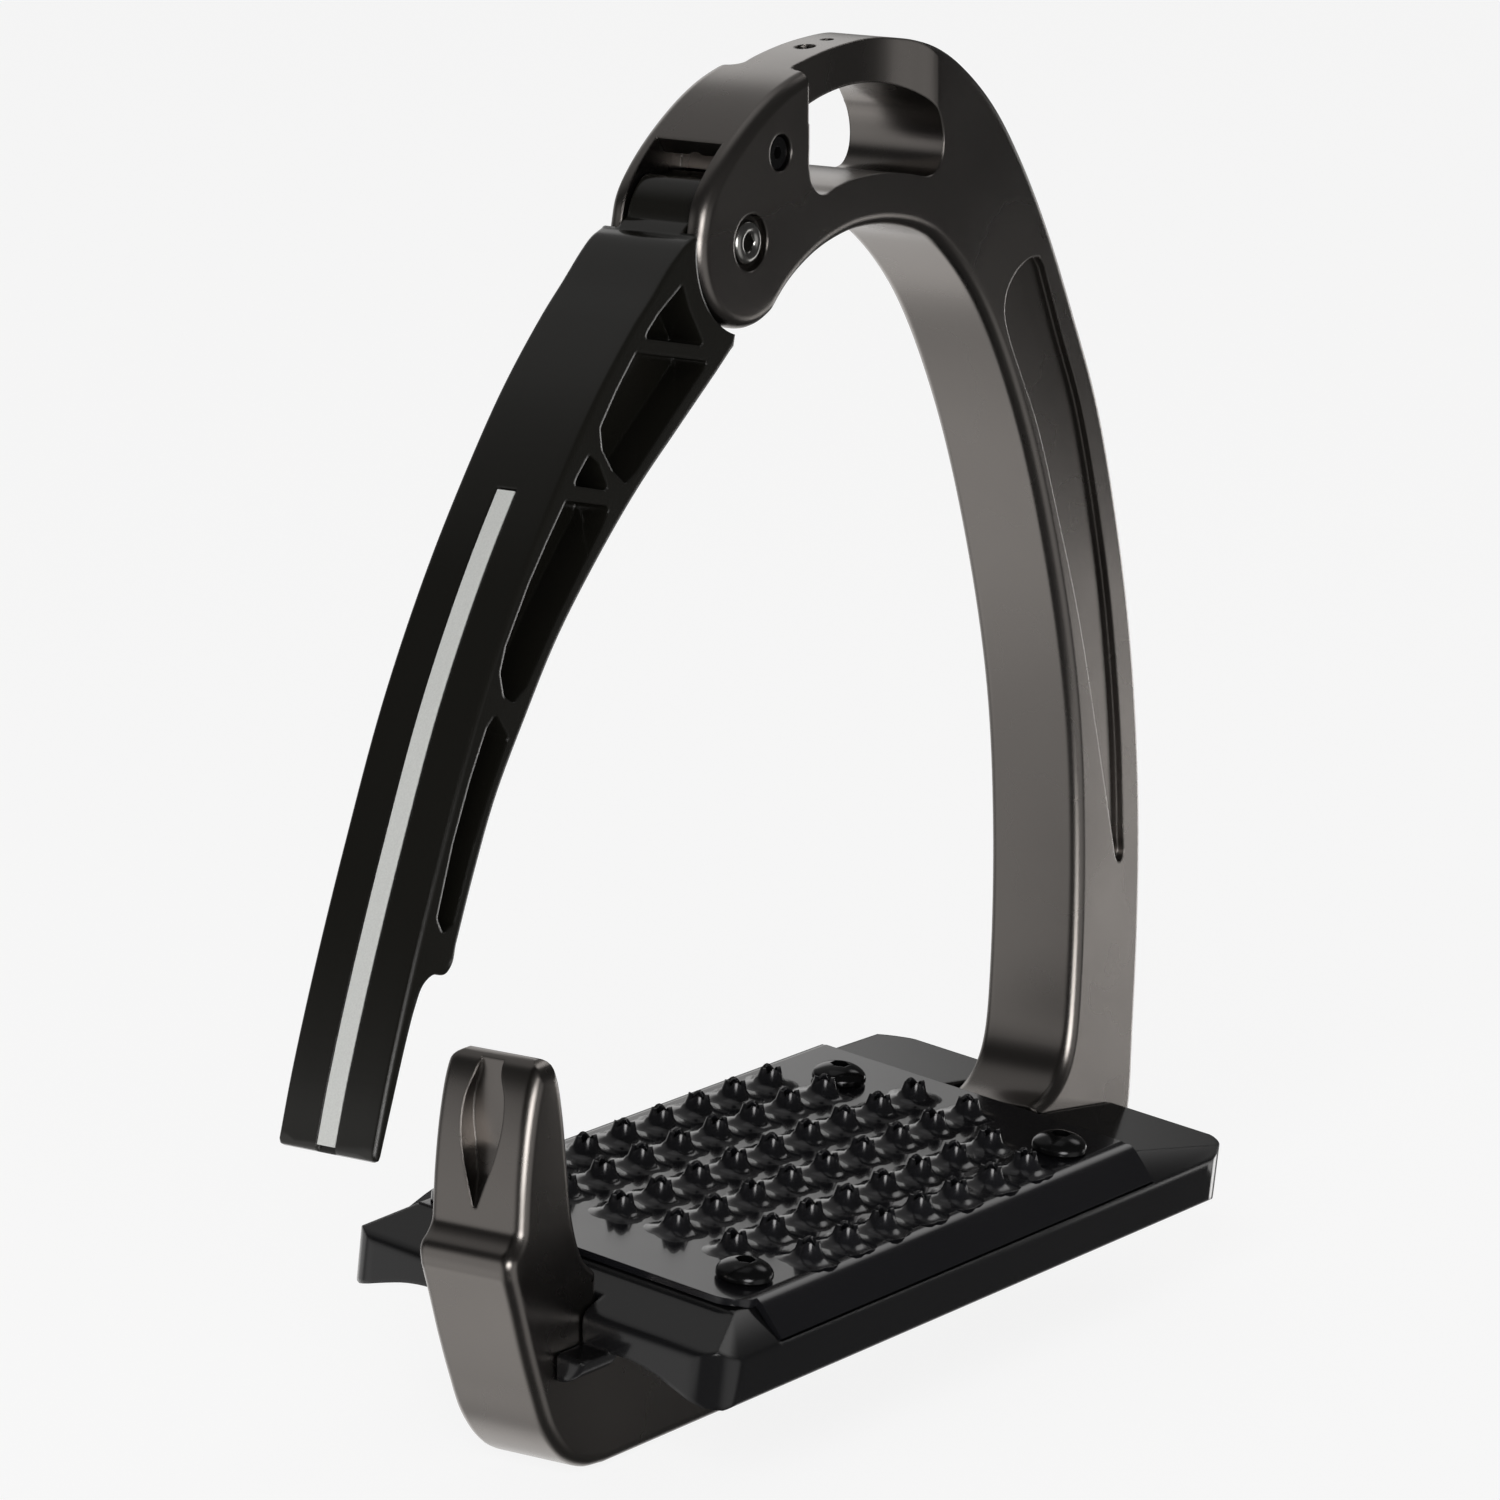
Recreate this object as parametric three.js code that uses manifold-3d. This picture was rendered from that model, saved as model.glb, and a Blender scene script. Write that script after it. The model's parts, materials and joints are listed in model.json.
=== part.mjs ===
// Safety stirrup iron with an opening side arm. Millimetres, +Z up.
// X runs across the foot opening with the opening arm on the -X side, -Y is the front.
// The origin is on the lowest line of the keel, midway between the two sides.
import * as THREE from 'three';
import { mergeVertices } from 'three/addons/utils/BufferGeometryUtils.js';
import Module from 'manifold-3d';

const wasm = await Module();
wasm.setup();

const degrees = THREE.MathUtils.degToRad;

// ---- driving dimensions -------------------------------------------------
const DEPTH = 15.5;                    // frame and arm, front to back
const GAP = 0.3;                       // clearance between touching pieces
const PIN = { x: -21.2, z: 158.7 };    // hinge axis, runs along Y
const EAR_RADIUS = 11.4;               // rounded end of each hinge ear
const EAR_THICKNESS = 2.4;
const KNUCKLE_RADIUS = 8.6;
const KNUCKLE_HALF = 4.3;              // half its width, between the washers
const HEEL_RADIUS = 10.9;              // raised back of the knuckle
const POCKET_RADIUS = 9;               // hinge pocket between the ears
const HEEL_CLEARANCE = 11.3;           // where the pocket makes room for the heel
const SHOULDER_RADIUS = 12.2;          // where the arm widens outside the ears
const SLOT = { left: -7.8, right: 24.2, high: 176.6 };
const BAR = { halfDepth: 4, low: 172.2, top: 182 };
const TREAD_TILT = degrees(7.1);   // front edge lower
const TREAD_HEIGHT = 27.7;             // top of the grip plate at mid depth
const TREAD = { left: -60, right: 70.5, halfDepth: 31.3, under: -9.4, low: -12, top: -1.3 };
const PLATE = { left: -50.3, right: 44.6, flat: 26.4, thickness: 1, lip: 31, drop: 4.6 };
const FLANGE = { left: -46, right: 45.4 };
const KEEL_SEAT = TREAD.under - GAP;
const NOTCH = { left: -55.6, right: 49.6, halfWidth: DEPTH / 2 + 0.35 };
const TOOTH = { pitch: 8.8, base: 3.6, height: 3, tip: 0.5 };
const TOOTH_ROWS = [                   // depth position, first tooth, count
  [-22.9, -29.4, 7],
  [-14.6, -34.8, 8],
  [-5.1, -34.8, 9],
  [3.9, -35.2, 9],
  [13.3, -35.4, 8],
  [20.7, -29.4, 7],
];
const PLATE_SCREWS = [
  ['front_left', -41.8, -21.3],
  ['front_right', 34, -21.8],
  ['back_left', -41.8, 15.3],
  ['back_right', 33, 15.3],
];
const KEEL_BOLTS = [['left', -30], ['right', 26]];
const KEEL_BOLT_DEPTH = -2;            // position front to back, in the tread's frame
const PIN_RADIUS = 2.5;
const PIN_HEAD_RADIUS = 3.3;
const BUSH = { inner: 2.8, outer: 3.4, from: 0.25, length: 3.8 };  // from: distance off mid depth
const WASHER = { radius: 5.2, from: 4.58, thickness: 0.5 };
const PLUNGER_BORE = { x: -4, z: 176.5, towardX: -0.9318, towardZ: -0.363, radius: 1.45 };
const CHEEK_SCREW = { x: -14.4, z: 169.8, radius: 1.75 };
const TENSION = { x: 2.4, radius: 1.45, depth: 5.6, foot: 178.5 };
const LOCK = { x: 7.6, radius: 0.9, depth: 5, foot: 177.4 };
const STRIP_HALF_WIDTH = 1.4;

// ---- materials ----------------------------------------------------------
const material = (color, metalness, roughness) =>
  new THREE.MeshStandardMaterial({ color, metalness, roughness });
const GUNMETAL = material(0x57534f, 0.9, 0.38);
const BLACK_ALLOY = material(0x0b0b0c, 0.3, 0.18);
const BLACK_PLASTIC = material(0x0d0d0e, 0.05, 0.2);
const BLACK_STEEL = material(0x141415, 0.7, 0.25);
const STEEL = material(0xb9bbbd, 1, 0.25);
const BRASS = material(0xb08d4a, 1, 0.35);
const BRONZE = material(0x8a6a45, 0.8, 0.4);
const REFLECTIVE = material(0xb9bcbd, 0.1, 0.5);

// ---- small geometry tools -----------------------------------------------
function toSolid(geometry) {
  const bare = geometry.index ? geometry.toNonIndexed() : geometry.clone();
  bare.deleteAttribute('normal');
  bare.deleteAttribute('uv');
  const merged = mergeVertices(bare, 1e-4);
  return new wasm.Manifold(new wasm.Mesh({
    numProp: 3,
    vertProperties: new Float32Array(merged.attributes.position.array),
    triVerts: new Uint32Array(merged.index.array),
  }));
}

function toMesh(name, solid, look) {
  const data = solid.getMesh();
  const geometry = new THREE.BufferGeometry();
  geometry.setAttribute('position', new THREE.BufferAttribute(data.vertProperties, 3));
  geometry.setIndex(new THREE.BufferAttribute(data.triVerts, 1));
  geometry.computeVertexNormals();
  const mesh = new THREE.Mesh(geometry, look);
  mesh.name = name;
  return mesh;
}

function shapeFrom(build) {
  const shape = new THREE.Shape();
  build(shape);
  return shape;
}

const vectors = (pairs) => pairs.map(([a, b]) => new THREE.Vector2(a, b));
const polygon = (pairs) => new THREE.Shape(vectors(pairs));
const rectangle = (x0, x1, z0, z1) => polygon([[x0, z0], [x1, z0], [x1, z1], [x0, z1]]);
const curveThrough = (shape, pairs) => shape.splineThru(vectors(pairs));
const lineThrough = (shape, pairs) => pairs.forEach(([a, b]) => shape.lineTo(a, b));

// A shape drawn in X and Z, made solid from y0 to y1.
function alongY(shape, y0, y1, curveSegments = 3) {
  const geometry = new THREE.ExtrudeGeometry(shape, { depth: y1 - y0, bevelEnabled: false, curveSegments });
  geometry.rotateX(Math.PI / 2);
  geometry.translate(0, y1, 0);
  return toSolid(geometry);
}

// A shape drawn in Y and Z, made solid from x0 to x1.
function alongX(shape, x0, x1, curveSegments = 3) {
  const geometry = new THREE.ExtrudeGeometry(shape, { depth: x1 - x0, bevelEnabled: false, curveSegments });
  geometry.rotateX(Math.PI / 2);
  geometry.rotateZ(Math.PI / 2);
  geometry.translate(x0, 0, 0);
  return toSolid(geometry);
}

// A shape drawn in X and Y, made solid from z0 to z1.
function alongZ(shape, z0, z1, curveSegments = 3) {
  const geometry = new THREE.ExtrudeGeometry(shape, { depth: z1 - z0, bevelEnabled: false, curveSegments });
  geometry.translate(0, 0, z0);
  return toSolid(geometry);
}

function circle(x, z, radius) {
  return shapeFrom((shape) => shape.absarc(x, z, radius, 0, 2 * Math.PI));
}

const roundAlongY = (x, z, radius, y0, y1, sides = 24) =>
  alongY(circle(x, z, radius), y0, y1, sides);

// A turned piece from [radius, height] pairs, standing along +Z at the origin.
function turned(profile, sides = 24) {
  return toSolid(new THREE.LatheGeometry(vectors(profile), sides).rotateX(Math.PI / 2));
}

// Places a +Z solid with its base at `from`, pointing to `to`.
function pointed(solid, from, to) {
  const direction = new THREE.Vector3(...to).sub(new THREE.Vector3(...from)).normalize();
  const turn = new THREE.Quaternion().setFromUnitVectors(new THREE.Vector3(0, 0, 1), direction);
  const place = new THREE.Matrix4().compose(new THREE.Vector3(...from), turn, new THREE.Vector3(1, 1, 1));
  return solid.transform(place.elements);
}

function hexSocket(across, z0, z1) {
  const corners = Array.from({ length: 6 }, (_, k) => {
    const angle = (k * Math.PI) / 3;
    return [(across / Math.sqrt(3)) * Math.cos(angle), (across / Math.sqrt(3)) * Math.sin(angle)];
  });
  return alongZ(polygon(corners), z0, z1);
}

const union = (solids) => solids.reduce((whole, solid) => whole.add(solid));
const cut = (body, cutters) => body.subtract(union(cutters));

// The tread is drawn level about its own origin and then leaned forward as one.
const LEAN = new THREE.Matrix4().makeRotationX(TREAD_TILT).setPosition(0, 0, TREAD_HEIGHT);
const leanTread = (solid) => solid.transform(LEAN.elements);
const levelled = (solid) => solid.transform(LEAN.clone().invert().elements);

// ---- frame --------------------------------------------------------------
function frameOutline() {
  return shapeFrom((shape) => {
    shape.moveTo(-15.4, 148.9);
    curveThrough(shape, [[-9.5, 153.4], [0, 156.8], [11.8, 157.1], [24, 152.9], [34, 143.7],
      [44.3, 126.9], [52.6, 105.8], [58.3, 83.5], [60.2, 63], [59.8, 42.7], [58.4, 32], [54.4, 27.2],
      [NOTCH.right, 25.4]]);
    lineThrough(shape, [[NOTCH.right, 22], [NOTCH.left, 22], [NOTCH.left, 26.9]]);
    curveThrough(shape, [[-58.6, 29.9], [-60.8, 36.5], [-61.9, 44], [-63, 52], [-64.6, 56.6],
      [-66.9, 57.8], [-69, 55.6], [-70.6, 50.5], [-71.8, 43.5], [-72.5, 36.2]]);
    lineThrough(shape, [[-73.6, 34.8], [-75, 32.6], [-75.2, 31.2]]);
    curveThrough(shape, [[-73.4, 25.6], [-69.4, 13.8], [-66, 7.2], [-62, 2.6], [-54, 0]]);
    lineThrough(shape, [[20, 0]]);
    curveThrough(shape, [[40, 1.3], [57, 3.4], [67.6, 6.8], [73, 12], [75.6, 20], [76.6, 32],
      [77.6, 50], [77.3, 68], [75, 88], [71, 106.5], [65.1, 125.4], [58.3, 139.6], [51.6, 152.1],
      [45, 162.2], [38.4, 170.2], [32, 175.6], [24.5, 179.8], [15, 182], [5, 181.9], [-5, 180.4],
      [-14, 178], [-22.2, 173.4], [-28.6, 167.6]]);
    const angle = (x, z) => Math.atan2(z - PIN.z, x - PIN.x);
    shape.absarc(PIN.x, PIN.z, EAR_RADIUS, angle(-31.6, 163.3), angle(-15.4, 148.9) + 2 * Math.PI);
  });
}

function slotOutline() {
  return shapeFrom((shape) => {
    shape.moveTo(SLOT.left, 167.5);
    curveThrough(shape, [[-6.8, 164.3], [-4.1, 163.2], [-1, 163.9], [3, 164.5], [9, 164.5],
      [16, 163.6], [20.6, 162.8], [23.6, 164.4], [SLOT.right, 168.4], [21.8, 172.6], [16.5, 175.6],
      [8, SLOT.high], [1, 176.3], [SLOT.left, 174.6]]);
  });
}

// The leather bar above the slot, with a rounded underside.
function leatherBar() {
  const profile = shapeFrom((shape) => {
    shape.moveTo(-BAR.halfDepth, BAR.top);
    shape.lineTo(-BAR.halfDepth, BAR.low + BAR.halfDepth);
    shape.absarc(0, BAR.low + BAR.halfDepth, BAR.halfDepth, Math.PI, 2 * Math.PI);
    shape.lineTo(BAR.halfDepth, BAR.top);
  });
  return alongX(profile, SLOT.left - 2, SLOT.right + 3, 10);
}

// The front and back faces are set back beside the leather bar and ramp out again.
function barRecess(side) {
  const plan = polygon([[SLOT.left, BAR.halfDepth], [17, BAR.halfDepth], [31, DEPTH / 2], [31, DEPTH],
    [SLOT.left, DEPTH]].map(([x, y]) => [x, y * side]));
  return alongZ(plan, 172, 190);
}

// Tapered recess in each broad face of the fixed arm.
function armRecess(side) {
  const outline = shapeFrom((shape) => {
    shape.moveTo(48.4, 148.4);
    curveThrough(shape, [[44.4, 147], [41.2, 143.4], [42, 138.6], [49.4, 125.2], [60.4, 96.4],
      [66.2, 75], [69.8, 60], [71, 57.2], [72.2, 58.6], [71.2, 76], [68.4, 94.9], [63.2, 116],
      [54.5, 136.8]]);
  });
  const [inner, outer] = [DEPTH / 2 - 1.8, DEPTH / 2 + 1];
  return side > 0 ? alongY(outline, inner, outer, 2) : alongY(outline, -outer, -inner, 2);
}

// Open to the left and below, with room above for the heel of the knuckle.
function hingePocket() {
  const half = DEPTH / 2 - EAR_THICKNESS;
  const outline = shapeFrom((shape) => {
    shape.absarc(PIN.x, PIN.z, POCKET_RADIUS, -0.9, degrees(75));
    shape.absarc(PIN.x, PIN.z, HEEL_CLEARANCE, degrees(75), degrees(98));
    lineThrough(shape, [[-24.3, 172.2], [-40, 182], [-40, 140], [-14.6, 140]]);
  });
  return alongY(outline, -half, half, 14);
}

// Leaf-shaped groove in the outer face of the post, open at the top.
function postGroove() {
  const leaf = shapeFrom((shape) => {
    shape.moveTo(-0.8, 38.8);
    curveThrough(shape, [[-2.6, 43.5], [-3.7, 49.5], [-3.4, 55], [-2.4, 60]]);
    shape.lineTo(2.4, 60);
    curveThrough(shape, [[3.4, 55], [3.7, 49.5], [2.6, 43.5], [0.8, 38.8]]);
  });
  const floor = polygon([[-90, 60], [-90, 36], [-72.6, 36], [-67.4, 44], [-65.8, 60]]);
  return alongX(leaf, -80, -60).intersect(alongY(floor, -6, 6));
}

// A +Z solid laid into the oblique plunger bore, its base at the bore's origin.
function inPlungerBore(solid) {
  const { x, z, towardX, towardZ } = PLUNGER_BORE;
  return pointed(solid, [x, 0, z], [x + towardX, 0, z + towardZ]);
}

const cylinder = (radius, z0, z1, sides = 20) =>
  turned([[0, z0], [radius, z0], [radius, z1], [0, z1]], sides);

function makeFrame() {
  const half = DEPTH / 2;
  const blank = alongY(frameOutline(), -half, half, 3);
  const slot = alongY(slotOutline(), -half - 1, half + 1, 2);
  const seat = leanTread(alongX(rectangle(-20, 20, KEEL_SEAT, 30), NOTCH.left, NOTCH.right));
  const pinBore = roundAlongY(PIN.x, PIN.z, PIN_RADIUS + 0.3, -half - 1, half + 1);
  const headRecesses = [-half - 1, half - 1.3].map((y) =>
    roundAlongY(PIN.x, PIN.z, PIN_HEAD_RADIUS + 0.5, y, y + 2.3));
  const cheekBore = roundAlongY(CHEEK_SCREW.x, CHEEK_SCREW.z, CHEEK_SCREW.radius + 0.3, -half - 1, -1.8, 18);
  const plungerBore = inPlungerBore(cylinder(PLUNGER_BORE.radius, -6, 20, 16));
  const topBores = [TENSION, LOCK].map(({ x, radius, depth }) =>
    cylinder(radius, BAR.top - depth, BAR.top + 2, 14).translate([x, 0, 0]));
  const boltBores = KEEL_BOLTS.map(([, x]) => leanTread(turned([[0, -60], [4.6, -60], [4.6, -17.6],
    [2.7, -17.6], [2.7, 0], [0, 0]]).translate([x, KEEL_BOLT_DEPTH, 0])));
  return blank.subtract(slot)
    .add(leatherBar().intersect(blank))
    .subtract(union([barRecess(1), barRecess(-1), armRecess(1), armRecess(-1)]))
    .subtract(union([hingePocket(), postGroove(), seat, pinBore, ...headRecesses, cheekBore]))
    .subtract(union([plungerBore, ...topBores, ...boltBores]));
}

// ---- opening arm --------------------------------------------------------
const ARM_OUTER = [[-33.4, 161], [-37.8, 158.7], [-46.6, 151.2], [-55, 142.9], [-63.6, 132.4],
  [-72.2, 120.4], [-81, 105.6], [-88.8, 89.2], [-95.4, 74], [-100.2, 61.6], [-103, 53]];
const ARM_INNER = [[-28.6, 142.6], [-37.4, 136.2], [-46.3, 129.6], [-55.1, 121.8], [-63.7, 113],
  [-70.6, 103.9], [-77, 94.6], [-81.6, 85.6], [-85.4, 77.2]];

const armOuterCurve = new THREE.SplineCurve(vectors(ARM_OUTER));

function armOutline() {
  return shapeFrom((shape) => {
    shape.moveTo(...ARM_OUTER[0]);
    curveThrough(shape, ARM_OUTER.slice(1));
    lineThrough(shape, [[-101.4, 52.5]]);
    curveThrough(shape, [[-98.6, 59.8], [-95.6, 67.2], [-93.8, 71], [-92.3, 73.2], [-90.2, 74.1],
      [-87.7, 73.7], [-86, 74.8], ARM_INNER[8]]);
    curveThrough(shape, ARM_INNER.slice(0, 8).reverse());
    lineThrough(shape, [[-25.2, 145.2], [-24.4, 146.9], [PIN.x, PIN.z], [-30, 163]]);
  });
}

// Pockets in each side of the arm, from the hinge down, with thin ribs between them.
const ARM_POCKETS = [
  [[-36.4, 155.2], [-41.8, 152], [-45.2, 149.2], [-31.6, 146.4], [-33, 148.6], [-34.9, 151.6]],
  [[-46.8, 147.6], [-54.4, 139.4], [-54.8, 137], [-52.2, 133.2], [-48.9, 130.9], [-47, 131.9],
    [-40.6, 136.8], [-32, 143.2], [-31.3, 144.6]],
  [[-57, 135.8], [-60.6, 132.3], [-52.6, 130.4], [-54.8, 134.2]],
  [[-62, 130.6], [-70, 121], [-74.9, 113.8], [-75.9, 110.4], [-73.3, 106.4], [-70.6, 107.8],
    [-64, 115.7], [-54, 126.2], [-52.4, 128.4]],
  [[-77.2, 105.4], [-79, 104], [-86.2, 90.4], [-89.5, 81.6], [-88.2, 79.2], [-86, 80.2],
    [-81.7, 89.8], [-74.6, 102]],
];
const ARM_WEB = 2.3;                   // half thickness left between the pockets

function armPocket(corners, side) {
  const outline = polygon(corners);
  return side > 0 ? alongY(outline, ARM_WEB, DEPTH) : alongY(outline, -DEPTH, -ARM_WEB);
}

function makeArm() {
  const half = DEPTH / 2;
  const body = alongY(armOutline(), -half, half);
  const shoulderCut = roundAlongY(PIN.x, PIN.z, SHOULDER_RADIUS, -half - 1, half + 1, 48);
  const neck = alongY(armOutline(), -KNUCKLE_HALF, KNUCKLE_HALF);
  const knuckle = roundAlongY(PIN.x, PIN.z, KNUCKLE_RADIUS, -KNUCKLE_HALF, KNUCKLE_HALF, 36);
  const bore = roundAlongY(PIN.x, PIN.z, BUSH.outer + 0.3, -half, half);
  const pockets = ARM_POCKETS.flatMap((corners) => [armPocket(corners, 1), armPocket(corners, -1)]);
  const solid = body.subtract(shoulderCut).add(neck).add(knuckle).add(heel()).add(latchRib());
  return cut(solid, [bore, stripSlot(), ...pockets]);
}

// The raised back of the knuckle, which limits how far the arm can open.
function heel() {
  const outline = shapeFrom((shape) => {
    shape.absarc(PIN.x, PIN.z, HEEL_RADIUS, degrees(130), degrees(180));
    shape.lineTo(PIN.x, PIN.z);
  });
  return alongY(outline, -KNUCKLE_HALF, KNUCKLE_HALF, 8);
}

// A low rib inside the tongue, which drops into the groove of the post.
function latchRib() {
  const outline = polygon([[-97, 66], [-101.6, 55], [-99.6, 55.6], [-95.4, 66]]);
  return alongY(outline, -0.8, 0.8);
}

// Band just under the outer face of the arm, between two depths below it.
function outerFaceBand(from, to, above, below) {
  const steps = 7;
  const offset = (k, distance) => {
    const along = from + ((to - from) * k) / steps;
    const { x, y } = armOuterCurve.getPoint(along);
    const tangent = armOuterCurve.getTangent(along);
    return [x - tangent.y * distance, y + tangent.x * distance];
  };
  const ks = Array.from({ length: steps + 1 }, (_, k) => k);
  return polygon([...ks.map((k) => offset(k, -above)), ...ks.reverse().map((k) => offset(k, below))]);
}

// The strip lies in its own slot, from the middle of the arm to its end.
function stripSlot() {
  const half = STRIP_HALF_WIDTH + 0.1;
  return alongY(outerFaceBand(0.445, 0.99, 1, 0.9), -half, half);
}

const makeStrip = () =>
  alongY(outerFaceBand(0.45, 0.985, 0.05, 0.6), -STRIP_HALF_WIDTH, STRIP_HALF_WIDTH);

// ---- hinge hardware, drawn standing on +Z and laid along Y in its group ----
function makePin() {
  const half = DEPTH / 2;
  const body = turned([[0, -half + 0.1], [PIN_HEAD_RADIUS, -half + 0.1], [PIN_HEAD_RADIUS, -half + 1],
    [PIN_RADIUS, -half + 1], [PIN_RADIUS, half - 1.6], [0, half - 1.6]]);
  const tapped = cylinder(1.7, -1, half);
  return cut(body, [tapped, hexSocket(2.5, -half, -half + 3)]);
}

function makePinScrew() {
  const half = DEPTH / 2;
  const body = turned([[0, 0], [1.4, 0], [1.4, half - 1], [PIN_HEAD_RADIUS, half - 1],
    [PIN_HEAD_RADIUS, half - 0.3], [PIN_HEAD_RADIUS - 0.3, half - 0.1], [0, half - 0.1]]);
  return body.subtract(hexSocket(2, half - 1.6, half));
}

const ring = (inner, outer, z0, z1) =>
  turned([[inner, z0], [outer, z0], [outer, z1], [inner, z1], [inner, z0]]);

function makePlunger() {
  return turned([[0, 9], [0.85, 9], [0.85, 6.5], [1.15, 6.5], [1.15, 15.8], [0.8, 16.6], [0, 16.9]], 16);
}

function makeSpring() {
  const turns = 5;
  const [from, to, radius] = [-2.4, 7.6, 0.55];
  class Coil extends THREE.Curve {
    getPoint(t) {
      const angle = 2 * Math.PI * turns * t;
      return new THREE.Vector3(radius * Math.cos(angle), radius * Math.sin(angle), from + (to - from) * t);
    }
  }
  const wire = new THREE.Shape();
  wire.absarc(0, 0, 0.18, 0, 2 * Math.PI);
  return toSolid(new THREE.ExtrudeGeometry(wire, { steps: turns * 10, curveSegments: 5, extrudePath: new Coil() }));
}

// Set screw standing on z = 0 with its socket on top.
const makeGrub = (radius, length, across) =>
  cylinder(radius, 0, length, 16).subtract(hexSocket(across, length - 1.4, length + 1));

// ---- tread, drawn level: Y to the back, Z up from the plate's upper face ----
const mirrored = (pairs) => [...pairs, ...pairs.map(([y, z]) => [-y, z]).reverse()];

function treadSection() {
  return polygon(mirrored([[-20, TREAD.under], [-24.8, -10], [-28.4, -11.3], [-29.6, TREAD.low],
    [-TREAD.halfDepth + 0.4, TREAD.low + 0.1], [-TREAD.halfDepth, TREAD.low + 0.6], [-TREAD.halfDepth, -5.4],
    [-31, -4.8], [-25.9, TREAD.top]]));
}

function treadPlan() {
  const { left, right, halfDepth } = TREAD;
  return shapeFrom((shape) => {
    shape.absarc(right - 11, -halfDepth + 11, 11, -Math.PI / 2, 0);
    shape.absarc(right - 11, halfDepth - 11, 11, 0, Math.PI / 2);
    shape.absarc(left + 6, halfDepth - 6, 6, Math.PI / 2, Math.PI);
    shape.absarc(left + 6, -halfDepth + 6, 6, Math.PI, Math.PI * 1.5);
  });
}

function treadBlank() {
  const { left, right, top } = TREAD;
  const side = polygon([[left, -4], [PLATE.left - 0.3, top - 0.2], [PLATE.left - 0.3, top],
    [PLATE.right + 0.4, top], [PLATE.right + 0.4, top - 0.2], [right, -5], [right, -20], [left, -20]]);
  const blank = alongX(treadSection(), left, right)
    .intersect(alongZ(treadPlan(), -20, 0, 5))
    .intersect(alongY(side, -40, 40));
  return blank.add(alongX(rectangle(-12, -5, -11.4, -8.4), -65.5, left + 1));
}

// Room for the folded edge of the plate along the front and back slopes.
function flangeRebate(side) {
  const profile = [[25.86, TREAD.top], [30.29, -5.73], [32, -4.02], [32, 1], [25.86, 1]];
  return alongX(polygon(profile.map(([y, z]) => [y * side, z])), FLANGE.left - 0.3, FLANGE.right + 0.3);
}

function makeTread() {
  const { left, right, halfWidth } = NOTCH;
  const postNotch = alongX(rectangle(-halfWidth, halfWidth, -20, 60), -90, left + GAP);
  const armNotch = alongX(rectangle(-halfWidth, halfWidth, -20, 60), right - GAP, 90);
  const insertHoles = PLATE_SCREWS.map(([, x, y]) => cylinder(3.5, -8.7, 1, 16).translate([x, y, 0]));
  const boltHoles = KEEL_BOLTS.map(([, x]) => cylinder(4, -30, -3, 16).translate([x, KEEL_BOLT_DEPTH, 0]));
  return cut(treadBlank(), [flangeRebate(1), flangeRebate(-1), levelled(postNotch), levelled(armNotch),
    ...insertHoles, ...boltHoles]);
}

function plateBlank() {
  const { left, right, flat, thickness, lip, drop } = PLATE;
  const fold = thickness * Math.tan(Math.PI / 8);
  const edge = thickness * Math.SQRT1_2;
  const section = polygon(mirrored([[-flat, 0], [-lip, -drop], [-lip + edge, -drop - edge],
    [-flat + fold, -thickness]]));
  const corner = 4;
  const plan = shapeFrom((shape) => {
    shape.moveTo(FLANGE.left, -40);
    lineThrough(shape, [[FLANGE.right, -40], [FLANGE.right, -flat], [right, -flat], [right, flat],
      [FLANGE.right, flat], [FLANGE.right, 40], [FLANGE.left, 40], [FLANGE.left, flat]]);
    shape.absarc(left + corner, flat - corner, corner, Math.PI / 2, Math.PI);
    shape.absarc(left + corner, -flat + corner, corner, Math.PI, Math.PI * 1.5);
    shape.lineTo(FLANGE.left, -flat);
  });
  return alongX(section, left, right + 2).intersect(alongZ(plan, -10, 1, 4));
}

function tooth(x, y) {
  const { base, height, tip } = TOOTH;
  const pyramid = new THREE.CylinderGeometry(tip, base, height + 0.2, 4);
  return toSolid(pyramid.rotateX(Math.PI / 2)).translate([x, y, height / 2 - 0.1]);
}

function makePlate() {
  const teeth = TOOTH_ROWS.flatMap(([y, first, count]) =>
    Array.from({ length: count }, (_, k) => tooth(first + TOOTH.pitch * k, y)));
  const holes = PLATE_SCREWS.map(([, x, y]) => cylinder(2.3, -3, 1, 16).translate([x, y, 0]));
  return cut(union([plateBlank(), ...teeth]), holes);
}

function makePlateScrew() {
  const body = turned([[0, -8], [1.6, -8], [1.95, -7.6], [1.95, 0.3], [3.9, 0.3], [3.85, 1], [3.1, 1.9],
    [2, 2.4], [0, 2.5]], 20);
  return body.subtract(hexSocket(2.5, 1, 4));
}

const makePlateInsert = () => ring(2.25, 3.2, -8.4, -1.6);

function makeKeelBolt() {
  const body = turned([[0, -22.2], [4.2, -22.2], [4.2, -17.9], [2.4, -17.9], [2.4, -3.8], [0, -3.8]], 20);
  return body.subtract(hexSocket(4, -23, -20));
}

const makeKeelInsert = () => ring(2.7, 3.7, -9.2, -3.4);

// ---- assembly -----------------------------------------------------------
const stirrup = new THREE.Group();
stirrup.add(toMesh('frame', makeFrame(), GUNMETAL));
stirrup.add(toMesh('opening_arm', makeArm(), BLACK_PLASTIC));
stirrup.add(toMesh('reflective_strip', makeStrip(), REFLECTIVE));
stirrup.add(toMesh('detent_spring', inPlungerBore(makeSpring()), STEEL));
stirrup.add(toMesh('detent_plunger', inPlungerBore(makePlunger()), STEEL));

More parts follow.
